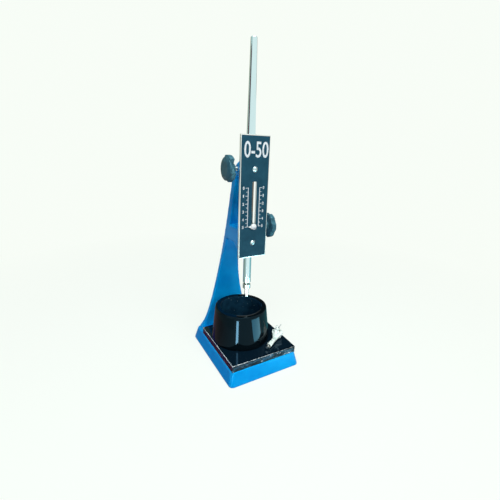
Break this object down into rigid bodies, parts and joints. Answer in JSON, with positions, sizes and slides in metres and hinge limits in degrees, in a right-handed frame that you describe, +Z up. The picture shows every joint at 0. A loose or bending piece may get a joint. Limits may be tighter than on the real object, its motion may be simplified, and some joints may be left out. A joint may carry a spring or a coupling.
{
  "type": "vicat apparatus",
  "caption": "Bench tester for cement setting: blue cast stand, sliding plunger rod with clamp knobs and graduated plate, conical mould on a glass plate.",
  "frame": {"origin": "centre of the base casting's underside", "axes": "+Z up along the plunger, -Y towards the side the scale faces, +X to the right of someone reading the scale"},
  "size_m": [0.111, 0.137, 0.4175],
  "materials": {
    "casting_blue": "semi-gloss blue paint",
    "black_steel": "blackened",
    "bronze": "turned",
    "plate_metal": "bare rim",
    "plate_print": "satin dark print with pale graduations",
    "plated_steel": "bright plated",
    "rod_steel": "ground and polished",
    "holder_steel": "turned",
    "spigot_steel": "bright",
    "collar_steel": "turned",
    "pointer_white": "gloss white",
    "knob_black": "moulded, semi-gloss",
    "stud_steel": "plated",
    "dark_glass": "dark glass, rough-broken edges",
    "mould_black": "high gloss",
    "bag_film": "thin translucent film"
  },
  "bodies": {
    "frame": {"base_casting": "casting_blue", "column_casting": "casting_blue", "column_bolts": "black_steel", "upper_guide_bush": "bronze", "lower_guide_bush": "bronze", "scale_plate": "plate_metal", "scale_face": "plate_print", "scale_screws": "plated_steel"},
    "plunger": {"plunger_rod": "rod_steel", "needle_holder": "holder_steel", "holder_grub_screw": "black_steel", "needle_spigot": "spigot_steel"},
    "carriage": {"carriage_collar": "collar_steel", "pointer": "pointer_white", "pointer_screw": "plated_steel"},
    "left_pad": {"left_pressure_pad": "bronze"},
    "left_clamp": {"left_knob": "knob_black", "left_clamp_stud": "stud_steel"},
    "right_pad": {"right_pressure_pad": "bronze"},
    "right_clamp": {"right_knob": "knob_black", "right_clamp_stud": "stud_steel"},
    "glass": {"glass_plate": "dark_glass"},
    "mould": {"mould_ring": "mould_black"},
    "bag": {"needle_bag": "bag_film", "bag_tie": "bag_film", "initial_needle": "spigot_steel", "final_needle": "spigot_steel"}
  },
  "joints": [
    {"name": "plunger_slide", "type": "slide", "parent": "frame", "child": "plunger", "axis": [0, 0, 1], "range_m": [0, 0.05]},
    {"name": "carriage_slide", "type": "slide", "parent": "plunger", "child": "carriage", "axis": [0, 0, 1], "range_m": [0, 0.005]},
    {"name": "left_pad_slide", "type": "slide", "parent": "frame", "child": "left_pad", "axis": [-1, 0, 0], "range_m": [-0.00025, 0.00175]},
    {"name": "left_knob_turn", "type": "hinge", "parent": "left_pad", "child": "left_clamp", "pos_m": [-0.0275, -0.005, 0.2725], "axis": [-1, 0, 0], "range_deg": [-90, 630]},
    {"name": "right_pad_slide", "type": "slide", "parent": "carriage", "child": "right_pad", "axis": [1, 0, 0], "range_m": [-0.0002, 0.0014]},
    {"name": "right_knob_turn", "type": "hinge", "parent": "right_pad", "child": "right_clamp", "pos_m": [0.028, -0.005, 0.1965], "axis": [1, 0, 0], "range_deg": [-90, 630]},
    {"name": "glass_slide", "type": "slide", "parent": "frame", "child": "glass", "axis": [0, -1, 0], "range_m": [0, 0.11]},
    {"name": "mould_lift", "type": "slide", "parent": "glass", "child": "mould", "axis": [0, 0, 1], "range_m": [0, 0.012]},
    {"name": "bag_lift", "type": "slide", "parent": "glass", "child": "bag", "axis": [0, 0, 1], "range_m": [0, 0.04]}
  ],
  "couplings": [
    {"joint": "left_pad_slide", "follows": "left_knob_turn", "m_per_rad": 0.000159},
    {"joint": "right_pad_slide", "follows": "right_knob_turn", "m_per_rad": 0.000127}
  ]
}
